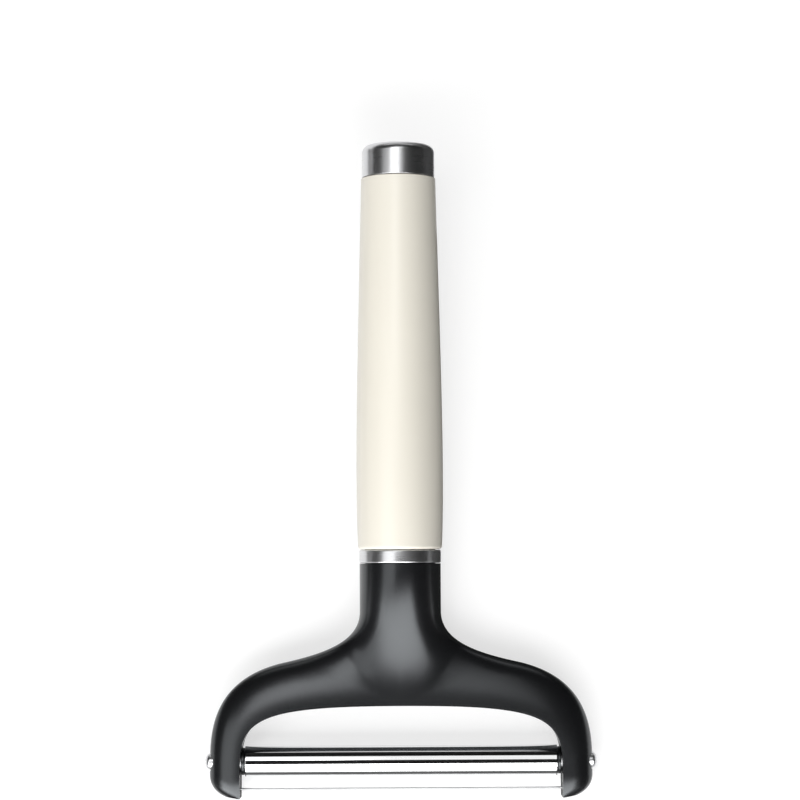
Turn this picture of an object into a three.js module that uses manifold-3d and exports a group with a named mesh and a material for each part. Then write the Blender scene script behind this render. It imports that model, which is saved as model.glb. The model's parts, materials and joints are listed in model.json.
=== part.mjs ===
// Wire cheese slicer: a moulded grip with a steel end cap and ferrule, a bow with two arms, a steel
// roller that turns on a fixed axle, and a cutting wire hooked under the two axle screws.
// Millimetres. Each piece is drawn in the tool's own frame: x across the bow, y along the grip towards
// the end cap, z out of the front face. y = 0 is the shoulder plane, where the grip meets the ferrule.
// The whole tool is then laid on its back, resting on the neck and the arms, with z = 0 as the table.
import * as THREE from 'three';
import { LoftGeometry } from 'three/addons/geometries/LoftGeometry.js';
import { mergeVertices } from 'three/addons/utils/BufferGeometryUtils.js';
import Module from 'manifold-3d';

// Clearances
const SEAT_GAP = 0.15; // faces that rest on each other
const FIT_GAP = 0.1; // pressed or bonded round fits, each side
const RUN_GAP = 0.1; // between the turning bush and the axle, each side
const END_FLOAT = 0.3; // between a bush collar and its arm
const WIRE_GAP = 0.15; // around the wire in its channel and under its washer

// Grip
const GRIP_LENGTH = 103;
const GRIP_FOOT_RADIUS = 11.6;
const GRIP_SWELL_RADIUS = 12.6;
const GRIP_SWELL_HEIGHT = 24;
const GRIP_TAPER_RADIUS = 11.35;
const GRIP_TAPER_HEIGHT = 58;
const GRIP_TOP_RADIUS = 10.35;
const GRIP_EDGE = 1.1;
const GRIP_BORE_RADIUS = 9.2; // at the shoulder plane
const GRIP_BORE_TOP_RADIUS = 7.6; // at the end cap

// End cap
const CAP_HEIGHT = 9.1;
const CAP_RADIUS = 10.1;
const CAP_WALL = 0.5;
const CAP_EDGE = 2.2;

// Ferrule
const RING_LENGTH = 3.6;
const RING_RADIUS = 11.25;
const RING_WALL = 1.4;
const RING_EDGE = 0.4;

// Neck, spigot and tang
const NECK_RADIUS = 11.2;
const NECK_LENGTH = 13.1;
const SPIGOT_DEPTH = 6;
const SPIGOT_BORE_RADIUS = 6;
const TANG_REACH = 28;
const TANG_RIB = 2.4;

// Bow and arms
const ARCH_DROP = 42.7; // shoulder plane to the underside of the bow
const ARCH_RISE = 16.5; // height of the curve from the middle of the underside to an arm
const ARCH_FULLNESS = 0.85;
const ARCH_CORNER_FULLNESS = 0.83;
const ARM_SPAN = 88.2; // between the inner faces of the arms
const ARM_WIDTH = 8.4;
const SHOULDER_REACH = 31.9;
const SHOULDER_DROP = 30.9;
const SHOULDER_SLOPE = 0.217;
const FLARE_FULLNESS = 0.56;
const FLARE_RUNOUT = 0.59;
const SHOULDER_FULLNESS = 0.95;
const SHOULDER_CORNER_FULLNESS = 0.33;
const FLARE_AT_ARCH = 0.62; // where along the flare the middle of the arch belongs
const ARCH_AT_SHOULDER = 0.16; // where along the arch the start of the shoulder belongs
const BOW_DEPTH = 11;
const ARM_TIP_DEPTH = 10;
const THINNING_TOP = 5; // shoulder plane to where the round neck starts to thin
const THINNING_FOOT = 39.5; // shoulder plane to where it has the bow's depth
const SADDLE_MIDDLE = 5; // half of the strip that runs straight from the neck into the bow
const SADDLE_REACH = 17; // half of the width over which that strip fades
const BOW_ROUNDNESS = 2.2; // power of the bow's section: 2 is an ellipse
const TIP_RISE = 6.1;
const TIP_FLAT = 1.5;
const TIP_THINNING = 0.6;

// Roller, wire and fasteners
const WINDOW_HEIGHT = 11; // underside of the bow to the roller
const SLICE_GAP = 3.05; // roller to wire
const TIP_LAND = 2.1; // wire to the arm's tip
const ROLLER_RADIUS = 4.2;
const ROLLER_WALL = 1.2;
const ROLLER_EDGE = 0.25;
const BUSH_LENGTH = 9;
const COLLAR_THICKNESS = 0.9;
const COLLAR_RADIUS = 3.7;
const AXLE_RADIUS = 2.25;
const AXLE_SOCKET = 3;
const TAP_DEPTH = 8;
const SCREW_RADIUS = 1.25;
const SCREW_BITE = 6; // length of screw inside the axle
const SCREW_HEAD_RADIUS = 2.2;
const SCREW_PROUD = 1.3; // dome above the arm
const DRIVE_LENGTH = 2.4;
const DRIVE_WIDTH = 0.6;
const DRIVE_DEPTH = 0.9;
const WASHER_RADIUS = 2.5;
const WASHER_THICKNESS = 0.4;
const RECESS_DEPTH = 2.4;
const WIRE_RADIUS = 0.3;
const WIRE_BEND = 1.1;
const HOOK_TURN = THREE.MathUtils.degToRad(240);

// Facets
const ROUND_FACETS = 40;
const SMALL_FACETS = 24;
const WIRE_FACETS = 8;
const OVERCUT = 1; // how far a cutter runs past the face that it opens
const WELD = 1e-4;

// Places that follow from the sizes
const capSeam = GRIP_LENGTH + SEAT_GAP;
const capTop = capSeam + CAP_HEIGHT;
const spigotTop = capTop - CAP_WALL - SEAT_GAP;
const capBore = CAP_RADIUS - CAP_WALL;
const capInnerEdge = CAP_EDGE - CAP_WALL;
const ringTop = -SEAT_GAP;
const ringFoot = ringTop - RING_LENGTH;
const neckTop = ringFoot - SEAT_GAP;
const flareTop = neckTop - NECK_LENGTH;
const headSpigotRadius = RING_RADIUS - RING_WALL - FIT_GAP;
const archY = -ARCH_DROP;
const rollerY = archY - WINDOW_HEIGHT - ROLLER_RADIUS;
const wireY = rollerY - ROLLER_RADIUS - SLICE_GAP - WIRE_RADIUS;
const tipY = wireY - WIRE_RADIUS - TIP_LAND;
const armInner = ARM_SPAN / 2;
const armOuter = armInner + ARM_WIDTH;
const collarFace = armInner - END_FLOAT;
const rollerEnd = collarFace - COLLAR_THICKNESS - FIT_GAP;
const rollerBore = ROLLER_RADIUS - ROLLER_WALL;
const axleEnd = armInner + AXLE_SOCKET - SEAT_GAP;
const recessFloor = armOuter - RECESS_DEPTH;
const recessRadius = WASHER_RADIUS + WIRE_GAP;
const hookX = recessFloor + WIRE_GAP + WIRE_RADIUS;
const hookRadius = SCREW_RADIUS + WIRE_GAP + WIRE_RADIUS;
const washerSeat = hookX + WIRE_RADIUS + WIRE_GAP;
const screwSeat = washerSeat + WASHER_THICKNESS + FIT_GAP;
const screwTop = armOuter + SCREW_PROUD;

const wasm = await Module();
wasm.setup();

// A closed geometry as a solid that can be joined and cut.
function solid(geometry) {
  const bare = new THREE.BufferGeometry();
  bare.setAttribute('position', geometry.getAttribute('position'));
  bare.setIndex(geometry.index);
  const welded = mergeVertices(bare, WELD);
  const vertProperties = welded.getAttribute('position').array;
  const triVerts = new Uint32Array(welded.index.array);
  return new wasm.Manifold(new wasm.Mesh({ numProp: 3, vertProperties, triVerts }));
}

function geometryOf(body) {
  const { vertProperties, triVerts } = body.getMesh();
  const geometry = new THREE.BufferGeometry();
  geometry.setAttribute('position', new THREE.BufferAttribute(vertProperties, 3));
  geometry.setIndex(new THREE.BufferAttribute(triVerts, 1));
  geometry.computeVertexNormals();
  return geometry;
}

// A turned piece about the y axis, from [radius, height] points that run up the outside.
function turned(profile, facets = ROUND_FACETS) {
  const points = profile.map(([radius, height]) => new THREE.Vector2(radius, height));
  return new THREE.LatheGeometry(points, facets);
}

// The same about the x axis, with heights counted outwards on the right (1) or left (-1) side.
function turnedAcross(profile, side = 1, facets = SMALL_FACETS) {
  return turned(profile, facets).rotateZ((-side * Math.PI) / 2);
}

function ring(inner, outer, foot, top) {
  return [[inner, foot], [outer, foot], [outer, top], [inner, top], [inner, foot]];
}

// Points of a quarter round from [radius, foot] up and in to [radius - run, foot + rise].
function quarterRound(radius, foot, run, rise, steps) {
  const points = [];
  for (let i = 0; i <= steps; i++) {
    const angle = (i / steps) * (Math.PI / 2);
    points.push([radius - run * (1 - Math.cos(angle)), foot + rise * Math.sin(angle)]);
  }
  return points;
}

// The grip's bore narrows towards the end cap, as its core was drawn out of the shoulder end.
function gripBoreAt(height) {
  return THREE.MathUtils.lerp(GRIP_BORE_RADIUS, GRIP_BORE_TOP_RADIUS, height / spigotTop);
}

function gripGeometry() {
  const side = new THREE.CubicBezierCurve(
    new THREE.Vector2(GRIP_FOOT_RADIUS, GRIP_EDGE),
    new THREE.Vector2(GRIP_SWELL_RADIUS, GRIP_SWELL_HEIGHT),
    new THREE.Vector2(GRIP_TAPER_RADIUS, GRIP_TAPER_HEIGHT),
    new THREE.Vector2(GRIP_TOP_RADIUS, GRIP_LENGTH),
  );
  const socket = headSpigotRadius + FIT_GAP;
  const foot = quarterRound(GRIP_FOOT_RADIUS, 0, GRIP_EDGE, GRIP_EDGE, 3);
  const spigot = capBore - FIT_GAP;
  const socketTop = SPIGOT_DEPTH + SEAT_GAP;
  return turned([
    [gripBoreAt(spigotTop), spigotTop],
    [gripBoreAt(socketTop), socketTop],
    [socket, socketTop],
    [socket, 0],
    ...foot.reverse().map(([radius, rise]) => [radius, GRIP_EDGE - rise]),
    ...side.getPoints(18).slice(1).map((point) => [point.x, point.y]),
    [spigot, GRIP_LENGTH],
    [spigot, spigotTop - capInnerEdge],
    [spigot - capInnerEdge, spigotTop],
    [gripBoreAt(spigotTop), spigotTop],
  ]);
}

function capGeometry() {
  const wallTop = capTop - CAP_EDGE;
  const inside = quarterRound(capBore, wallTop, capInnerEdge, capInnerEdge, 4).reverse();
  const outside = quarterRound(CAP_RADIUS, wallTop, CAP_EDGE, CAP_EDGE, 5);
  return turned([
    [0, capTop - CAP_WALL],
    ...inside,
    [capBore, capSeam],
    [CAP_RADIUS, capSeam],
    ...outside,
    [0, capTop],
  ]);
}

function ringGeometry() {
  const inner = RING_RADIUS - RING_WALL;
  return turned([
    [inner, ringFoot],
    [RING_RADIUS - RING_EDGE, ringFoot],
    [RING_RADIUS, ringFoot + RING_EDGE],
    [RING_RADIUS, ringTop - RING_EDGE],
    [RING_RADIUS - RING_EDGE, ringTop],
    [inner, ringTop],
    [inner, ringFoot],
  ]);
}

// One half of the neck, bow and arm, as stations that each join a point on the inner line to a point
// on the outer outline.
function headStations() {
  const flare = new THREE.CubicBezierCurve(
    new THREE.Vector2(NECK_RADIUS, flareTop),
    new THREE.Vector2(NECK_RADIUS, THREE.MathUtils.lerp(flareTop, -SHOULDER_DROP, FLARE_FULLNESS)),
    shoulderPoint(-FLARE_RUNOUT * (SHOULDER_REACH - NECK_RADIUS)),
    shoulderPoint(0),
  );
  const shoulder = new THREE.CubicBezierCurve(
    shoulderPoint(0),
    shoulderPoint(SHOULDER_FULLNESS * (armOuter - SHOULDER_REACH)),
    new THREE.Vector2(armOuter, THREE.MathUtils.lerp(rollerY, -SHOULDER_DROP, SHOULDER_CORNER_FULLNESS)),
    new THREE.Vector2(armOuter, rollerY),
  );
  const arch = new THREE.CubicBezierCurve(
    new THREE.Vector2(0, archY),
    new THREE.Vector2(armInner * ARCH_FULLNESS, archY),
    new THREE.Vector2(armInner, archY - ARCH_RISE * (1 - ARCH_CORNER_FULLNESS)),
    new THREE.Vector2(armInner, archY - ARCH_RISE),
  );
  const tipTop = tipY + TIP_RISE;
  const tip = new THREE.EllipseCurve(
    armInner + TIP_FLAT, tipTop, ARM_WIDTH - TIP_FLAT, TIP_RISE, 0, -Math.PI / 2, true,
  );
  const neckSide = line(NECK_RADIUS, neckTop, NECK_RADIUS, flareTop);
  const armSide = line(armOuter, rollerY, armOuter, tipTop);
  return [
    ...span(line(0, neckTop, 0, flareTop), neckSide, 6),
    ...span(line(0, flareTop, 0, archY), part(flare, 0, FLARE_AT_ARCH), 9),
    ...span(part(arch, 0, ARCH_AT_SHOULDER), part(flare, FLARE_AT_ARCH, 1), 5),
    ...span(part(arch, ARCH_AT_SHOULDER, 1), shoulder, 12),
    ...span(line(armInner, archY - ARCH_RISE, armInner, tipTop), armSide, 2),
    ...span(line(armInner, tipTop, armInner, tipY), tip, 6),
    { inner: new THREE.Vector2(armInner, tipY), outer: tip.getPoint(1) },
  ];
}

function line(x0, y0, x1, y1) {
  return new THREE.LineCurve(new THREE.Vector2(x0, y0), new THREE.Vector2(x1, y1));
}

// A point on the sloping line where flare and shoulder meet, at a run across from their joint.
function shoulderPoint(run) {
  return new THREE.Vector2(SHOULDER_REACH + run, -SHOULDER_DROP - run * SHOULDER_SLOPE);
}

// The stretch of a curve between two places along it.
function part(curve, from, to) {
  return { getPoint: (t) => curve.getPoint(THREE.MathUtils.lerp(from, to, t)) };
}

// Stations from the start of two matched curves up to, but not at, their ends.
function span(innerCurve, outerCurve, steps) {
  const stations = [];
  for (let i = 0; i < steps; i++) {
    const t = i / steps;
    stations.push({ inner: innerCurve.getPoint(t), outer: outerCurve.getPoint(t) });
  }
  return stations;
}

// How far the neck has given way to the bow: 0 on the neck, 1 at the bow's own depth.
function bowShareAt(y) {
  return THREE.MathUtils.smoothstep(-y, THINNING_TOP, THINNING_FOOT);
}

function halfDepthAt(y) {
  const { lerp, clamp } = THREE.MathUtils;
  const downArm = clamp((archY - y) / (archY - tipY), 0, 1);
  const downTip = clamp((tipY + TIP_RISE - y) / TIP_RISE, 0, 1);
  const bowHalf = lerp(BOW_DEPTH, ARM_TIP_DEPTH, downArm) / 2;
  const thinning = Math.sqrt(1 - (TIP_THINNING * downTip) ** 2);
  return lerp(NECK_RADIUS, bowHalf, bowShareAt(y)) * thinning;
}

// A station's closed section: round from the inner edge at the back, over the outer outline, to the front.
// In the saddle the depth follows a point's own height, and further out that of the station's inner edge.
function sectionOf({ inner, outer }) {
  const { lerp, smoothstep } = THREE.MathUtils;
  const quarter = 8;
  const power = lerp(2, BOW_ROUNDNESS, bowShareAt(inner.y));
  const points = [];
  for (let i = -quarter; i <= quarter; i++) {
    const angle = (i / quarter) * (Math.PI / 2);
    const across = Math.abs(i) === quarter ? 0 : Math.cos(angle) ** (2 / power);
    const { x, y } = inner.clone().lerp(outer, across);
    const height = lerp(y, inner.y, smoothstep(x, SADDLE_MIDDLE, SADDLE_REACH));
    const rise = Math.abs(Math.sin(angle)) ** (2 / power);
    points.push(new THREE.Vector3(x, y, Math.sign(i) * rise * halfDepthAt(height)));
  }
  return points;
}

function acrossTheMiddle({ x, y, z }) {
  return new THREE.Vector3(-x, y, z);
}

function headSkin() {
  const sections = headStations().map(sectionOf);
  const mirrored = sections.map((section) => section.map(acrossTheMiddle).reverse());
  const caps = { capStart: true, capEnd: true };
  return solid(new LoftGeometry(sections, caps)).add(solid(new LoftGeometry(mirrored, caps)));
}

// The spigot that carries the ferrule and fits the grip, and the ribbed tang behind it.
function tang() {
  const reach = gripBoreAt(TANG_REACH) - FIT_GAP;
  const ribWidth = 2 * Math.sqrt(reach ** 2 - (TANG_RIB / 2) ** 2);
  const root = neckTop - OVERCUT;
  const length = TANG_REACH - root;
  const centre = root + length / 2;
  const rib = (width, depth) => new THREE.BoxGeometry(width, length, depth).translate(0, centre, 0);
  return solid(turned(ring(SPIGOT_BORE_RADIUS, headSpigotRadius, root, SPIGOT_DEPTH)))
    .add(solid(rib(ribWidth, TANG_RIB)))
    .add(solid(rib(TANG_RIB, ribWidth)));
}

// The flat land for the bush's collar, the axle socket, the screw hole and the washer recess in one arm.
function armBore(side) {
  const land = COLLAR_RADIUS + END_FLOAT;
  const socket = AXLE_RADIUS + FIT_GAP;
  const screwHole = SCREW_RADIUS + FIT_GAP;
  return solid(turnedAcross([
    [0, armInner - OVERCUT],
    [land, armInner - OVERCUT],
    [land, armInner],
    [socket, armInner],
    [socket, armInner + AXLE_SOCKET],
    [screwHole, armInner + AXLE_SOCKET],
    [screwHole, recessFloor],
    [recessRadius, recessFloor],
    [recessRadius, armOuter + OVERCUT],
    [0, armOuter + OVERCUT],
  ], side).translate(0, rollerY, 0));
}

// The wire leaves its hole at [wireY, 0] and runs straight to touch the hook's circle round the screw.
const hookDistance = rollerY - wireY;
const tailSlant = Math.asin(hookRadius / hookDistance);
const tailLength = Math.sqrt(hookDistance ** 2 - hookRadius ** 2);

// A point on the tail, at a length from the corner where it turns into the hole.
function tailPoint(length) {
  return new THREE.Vector3(hookX, wireY + length * Math.cos(tailSlant), length * Math.sin(tailSlant));
}

function bendPoints() {
  const corner = new THREE.Vector3(hookX, wireY, 0);
  const inHole = new THREE.Vector3(hookX - WIRE_BEND, wireY, 0);
  return new THREE.QuadraticBezierCurve3(tailPoint(WIRE_BEND), corner, inHole).getPoints(4);
}

function hookPoints() {
  const touch = tailPoint(tailLength);
  const touchAngle = Math.atan2(touch.z, touch.y - rollerY);
  const points = [];
  const steps = 10;
  for (let i = steps; i > 0; i--) {
    const angle = touchAngle - (i / steps) * HOOK_TURN;
    const y = rollerY + hookRadius * Math.cos(angle);
    points.push(new THREE.Vector3(hookX, y, hookRadius * Math.sin(angle)));
  }
  return [...points, touch];
}

// A curve whose even steps land on the listed points, so that a tube bends only where they do.
class Route extends THREE.Curve {
  constructor(points) {
    super();
    this.points = points;
  }

  getUtoTmapping(u) {
    return u;
  }

  getPoint(t) {
    const last = this.points.length - 1;
    const place = THREE.MathUtils.clamp(t, 0, 1) * last;
    const index = Math.min(Math.floor(place), last - 1);
    return this.points[index].clone().lerp(this.points[index + 1], place - index);
  }
}

function tubeAlong(points, radius) {
  const section = new THREE.Shape();
  for (let i = 0; i < WIRE_FACETS; i++) {
    const angle = (i / WIRE_FACETS) * 2 * Math.PI;
    const x = radius * Math.cos(angle);
    const y = radius * Math.sin(angle);
    if (i === 0) section.moveTo(x, y);
    else section.lineTo(x, y);
  }
  const settings = { steps: points.length - 1, extrudePath: new Route(points), bevelEnabled: false };
  return new THREE.ExtrudeGeometry(section, settings);
}

function wireGeometry() {
  const right = [...hookPoints(), ...bendPoints()];
  const left = right.map(acrossTheMiddle).reverse();
  return tubeAlong([...right, ...left], WIRE_RADIUS);
}

// The channel that the wire follows through one arm, open to the outside along its tail.
function wireChannel(side) {
  const radius = WIRE_RADIUS + WIRE_GAP;
  const insideArm = new THREE.Vector3(armInner - OVERCUT, wireY, 0);
  const path = [tailPoint(tailLength), ...bendPoints(), insideArm];
  const sided = side > 0 ? path : path.map(acrossTheMiddle);
  const width = armOuter + OVERCUT - hookX;
  const middle = tailPoint(tailLength / 2);
  const slot = new THREE.BoxGeometry(width, tailLength + 2 * radius, 2 * radius)
    .rotateX(tailSlant)
    .translate(side * (hookX + width / 2), middle.y, middle.z);
  return solid(tubeAlong(sided, radius)).add(solid(slot));
}

function headGeometry() {
  let head = headSkin().add(tang());
  for (const side of [1, -1]) {
    head = head.subtract(armBore(side)).subtract(wireChannel(side));
  }
  return geometryOf(head);
}

function rollerGeometry() {
  const edge = ROLLER_RADIUS - ROLLER_EDGE;
  const shoulder = rollerEnd - ROLLER_EDGE;
  return turnedAcross([
    [rollerBore, -rollerEnd],
    [edge, -rollerEnd],
    [ROLLER_RADIUS, -shoulder],
    [ROLLER_RADIUS, shoulder],
    [edge, rollerEnd],
    [rollerBore, rollerEnd],
    [rollerBore, -rollerEnd],
  ], 1, ROUND_FACETS);
}

function bushGeometry(side) {
  const bore = AXLE_RADIUS + RUN_GAP;
  const sleeve = rollerBore - FIT_GAP;
  const collarBack = collarFace - COLLAR_THICKNESS;
  const foot = rollerEnd - BUSH_LENGTH;
  return turnedAcross([
    [bore, foot],
    [sleeve, foot],
    [sleeve, collarBack],
    [COLLAR_RADIUS, collarBack],
    [COLLAR_RADIUS, collarFace],
    [bore, collarFace],
    [bore, foot],
  ], side);
}

function axleGeometry() {
  const tapped = SCREW_RADIUS + FIT_GAP;
  const tapFoot = axleEnd - TAP_DEPTH;
  return turnedAcross([
    [0, -tapFoot],
    [tapped, -tapFoot],
    [tapped, -axleEnd],
    [AXLE_RADIUS, -axleEnd],
    [AXLE_RADIUS, axleEnd],
    [tapped, axleEnd],
    [tapped, tapFoot],
    [0, tapFoot],
  ]);
}

function screwGeometry(side) {
  const tipX = axleEnd - SCREW_BITE;
  const dome = quarterRound(SCREW_HEAD_RADIUS, armOuter, SCREW_HEAD_RADIUS, SCREW_PROUD, 5);
  const body = turnedAcross([
    [0, tipX],
    [SCREW_RADIUS, tipX],
    [SCREW_RADIUS, screwSeat],
    [SCREW_HEAD_RADIUS, screwSeat],
    ...dome.slice(0, -1),
    [0, screwTop],
  ], side);
  const driveHeight = DRIVE_DEPTH + OVERCUT;
  const driveX = side * (screwTop - DRIVE_DEPTH + driveHeight / 2);
  const slot = new THREE.BoxGeometry(driveHeight, DRIVE_LENGTH, DRIVE_WIDTH).translate(driveX, 0, 0);
  const cross = new THREE.BoxGeometry(driveHeight, DRIVE_WIDTH, DRIVE_LENGTH).translate(driveX, 0, 0);
  return geometryOf(solid(body).subtract(solid(slot)).subtract(solid(cross)));
}

function washerGeometry(side) {
  const bore = SCREW_RADIUS + FIT_GAP;
  return turnedAcross(ring(bore, WASHER_RADIUS, washerSeat, washerSeat + WASHER_THICKNESS), side);
}

function finish(color, roughness, metalness) {
  return new THREE.MeshStandardMaterial({ color, roughness, metalness });
}

const cream = () => finish(0xe8e4d9, 0.25, 0);
const black = () => finish(0x1c1c1e, 0.4, 0);
const polished = () => finish(0xd4d6d8, 0.1, 1);
const satin = () => finish(0xc4c6c8, 0.25, 1);

const tool = new THREE.Group();

function addPiece(name, geometry, material, y = 0) {
  const mesh = new THREE.Mesh(geometry, material);
  mesh.name = name;
  mesh.position.y = y;
  tool.add(mesh);
  return mesh;
}

const grip = addPiece('handle_grip', gripGeometry(), cream());
addPiece('end_cap', capGeometry(), satin());
const ferrule = addPiece('ferrule_ring', ringGeometry(), satin());
const head = addPiece('head_frame', headGeometry(), black());
addPiece('roller_tube', rollerGeometry(), polished(), rollerY);
addPiece('roller_axle', axleGeometry(), satin(), rollerY);
addPiece('cutting_wire', wireGeometry(), polished());
for (const [name, side] of [['right', 1], ['left', -1]]) {
  addPiece(`roller_bush_${name}`, bushGeometry(side), black(), rollerY);
  addPiece(`axle_screw_${name}`, screwGeometry(side), satin(), rollerY);
  addPiece(`wire_washer_${name}`, washerGeometry(side), satin(), rollerY);
}

// Corners of a piece, kept where the test says so.
function cornersOf(mesh, keep) {
  const position = mesh.geometry.getAttribute('position');
  const corners = [];
  for (let i = 0; i < position.count; i++) {
    const corner = new THREE.Vector3().fromBufferAttribute(position, i);
    if (keep(corner)) corners.push(corner);
  }
  return corners;
}

function lowest(corners, tilt) {
  return Math.min(...corners.map(({ y, z }) => y * Math.sin(tilt) + z * Math.cos(tilt)));
}

// The tilt at which the backs of the arms and the back of the neck or grip are equally low.
function restingTilt() {
  const arms = cornersOf(head, ({ x }) => Math.abs(x) > SHOULDER_REACH);
  const back = [
    ...cornersOf(head, ({ x, z }) => Math.abs(x) < NECK_RADIUS && z < 0),
    ...cornersOf(ferrule, ({ z }) => z < 0),
    ...cornersOf(grip, ({ z }) => z < 0),
  ];
  let low = 0;
  let high = Math.PI / 6;
  for (let i = 0; i < 40; i++) {
    const middle = (low + high) / 2;
    if (lowest(arms, middle) > lowest(back, middle)) low = middle;
    else high = middle;
  }
  return low;
}

tool.rotation.x = restingTilt();

// The origin is on the table, under the middle of the tool.
const slicer = new THREE.Group();
slicer.add(tool);
slicer.updateMatrixWorld(true);
const bounds = new THREE.Box3().setFromObject(slicer, true);
const middle = bounds.getCenter(new THREE.Vector3());
tool.position.set(-middle.x, -middle.y, -bounds.min.z);

export default slicer;
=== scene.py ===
# %% [markdown]
# # A wire cheese slicer
# This hand tool has a round plastic grip, a black bow with two arms, and between the arms a steel
# roller and a taut wire. The imported model gives every piece its place, and it stays fixed. Here each
# piece gets a real finish, and all but the axle are made again with a finer mesh, where the imported ones are.

# %% Load the frame
import json
import math

import bmesh
import bpy
from mathutils import Matrix, Vector


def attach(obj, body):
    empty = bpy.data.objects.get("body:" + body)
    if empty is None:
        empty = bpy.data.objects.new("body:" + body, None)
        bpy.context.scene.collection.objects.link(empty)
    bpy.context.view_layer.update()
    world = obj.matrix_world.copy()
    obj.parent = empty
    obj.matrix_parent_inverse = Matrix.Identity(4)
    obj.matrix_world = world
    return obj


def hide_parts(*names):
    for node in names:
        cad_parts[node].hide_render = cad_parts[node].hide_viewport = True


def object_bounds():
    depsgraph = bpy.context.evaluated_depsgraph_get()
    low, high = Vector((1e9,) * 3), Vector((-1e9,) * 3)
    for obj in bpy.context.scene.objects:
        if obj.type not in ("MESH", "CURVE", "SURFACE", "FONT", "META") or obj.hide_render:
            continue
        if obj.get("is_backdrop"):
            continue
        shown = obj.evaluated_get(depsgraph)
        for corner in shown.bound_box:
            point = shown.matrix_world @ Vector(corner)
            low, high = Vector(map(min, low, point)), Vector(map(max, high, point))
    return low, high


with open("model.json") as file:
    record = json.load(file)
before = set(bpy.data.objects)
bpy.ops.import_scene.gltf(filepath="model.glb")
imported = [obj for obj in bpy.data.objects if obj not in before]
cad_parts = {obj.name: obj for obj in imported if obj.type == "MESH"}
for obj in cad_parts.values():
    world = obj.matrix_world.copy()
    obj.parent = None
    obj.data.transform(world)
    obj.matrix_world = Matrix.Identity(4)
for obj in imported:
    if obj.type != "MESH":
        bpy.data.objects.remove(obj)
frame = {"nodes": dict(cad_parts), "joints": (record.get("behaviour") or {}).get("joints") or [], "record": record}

cad_low, cad_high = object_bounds()
record = frame["record"]
print("packed pieces:", sorted(frame["nodes"]))

# %% [markdown]
# ## The tool's own frame
# The slicer lies on its back, a little tilted, so nothing on it is square to the table. Sizes are
# easier to read along the tool itself: x across the bow, y along the grip, z out of the front. The
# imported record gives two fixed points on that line, the end face and the roller's axis, and one
# matrix built from them takes a mesh from millimetres on the tool to metres on the table.

# %% Place the tool
MM = 0.001
ROLLER_DROP = 57.9  # from the shoulder, where the grip ends, down to the roller's axis

end_face = next(mount for mount in record["mounts"] if mount["name"] == "end_face")
roller_centre = Vector(frame["joints"][0]["pos_m"])
across = Vector((1, 0, 0))
along = Vector(end_face["axis"]).normalized()
outward = across.cross(along)
shoulder = roller_centre + along * ROLLER_DROP * MM
tool_axes = Matrix((across, along, outward)).transposed().to_4x4()
to_table = Matrix.Translation(shoulder) @ tool_axes @ Matrix.Scale(MM, 4)
tilt = math.atan2(along.z, along.y)
cap_top = (Vector(end_face["pos_m"]) - shoulder).dot(along) / MM
print(f"tilt {math.degrees(tilt):.2f} degrees, end face {cap_top:.2f} mm above the shoulder")

# %% [markdown]
# ## Making a piece
# Most pieces are round. They could be stacked up from cylinders, but one outline, spun once round an
# axis, gives all of a piece's steps and curves at once. The corners of the outline become rings of
# edges, and a bevel rounds the rings that a hand or the light would find. A finished mesh is moved to
# its place on the table, while its object stays at the origin.

# %% Turned shapes
WELD = 0.0005
GRIP_AXIS = Vector((0, 1, 0))
ROLLER_AXIS = Vector((1, 0, 0))
FRONT = Vector((0, 0, 1))


def turned(profile, axis=GRIP_AXIS, steps=128):
    """A [radius, height] outline, spun a full turn round the grip's or the roller's axis."""
    bm = bmesh.new()
    corners = [bm.verts.new(axis * height + FRONT * radius) for radius, height in profile]
    lines = [bm.edges.new(pair) for pair in zip(corners, corners[1:])]
    bmesh.ops.spin(
        bm, geom=corners + lines, cent=(0, 0, 0), axis=axis, angle=2 * math.pi, steps=steps,
        use_merge=True,
    )
    bmesh.ops.remove_doubles(bm, verts=bm.verts, dist=WELD)
    bmesh.ops.recalc_face_normals(bm, faces=bm.faces)
    return bm


def closed(profile):
    return profile + profile[:1]


def round_edges(bm, edges, radius, segments=4):
    bmesh.ops.bevel(
        bm, geom=list(edges), offset=radius, offset_type="OFFSET", segments=segments, profile=0.5,
        affect="EDGES", clamp_overlap=True, material=-1,
    )


def round_ring(bm, radius, height, edge, axis=GRIP_AXIS, segments=4):
    """Rounds the ring of edges at one corner of a turned outline."""
    def at_corner(vert):
        up = vert.co.dot(axis)
        out = (vert.co - axis * up).length
        return abs(up - height) < WELD and abs(out - radius) < WELD
    round_edges(bm, [e for e in bm.edges if all(at_corner(v) for v in e.verts)], edge, segments)


# %% Finished pieces
SHARP = math.radians(38)


def in_scene(name, data):
    """A new object in the scene, at the origin."""
    made = bpy.data.objects.new(name, data)
    bpy.context.scene.collection.objects.link(made)
    return made


def mesh_of(bm, name):
    mesh = bpy.data.meshes.new(name)
    bm.to_mesh(mesh)
    bm.free()
    return mesh


def finished(name, body, finish, mesh):
    """An object for a mesh in tool millimetres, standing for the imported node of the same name."""
    mesh.transform(to_table)
    mesh.shade_smooth()
    mesh.set_sharp_from_angle(angle=SHARP)
    mesh.materials.clear()
    mesh.materials.append(finish)
    piece = in_scene(f"{name}_visual", mesh)
    flatten = piece.modifiers.new("weighted normals", "WEIGHTED_NORMAL")
    flatten.keep_sharp = True
    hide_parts(name)
    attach(piece, body)
    print(f"{name}: {len(mesh.polygons)} faces")


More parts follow.
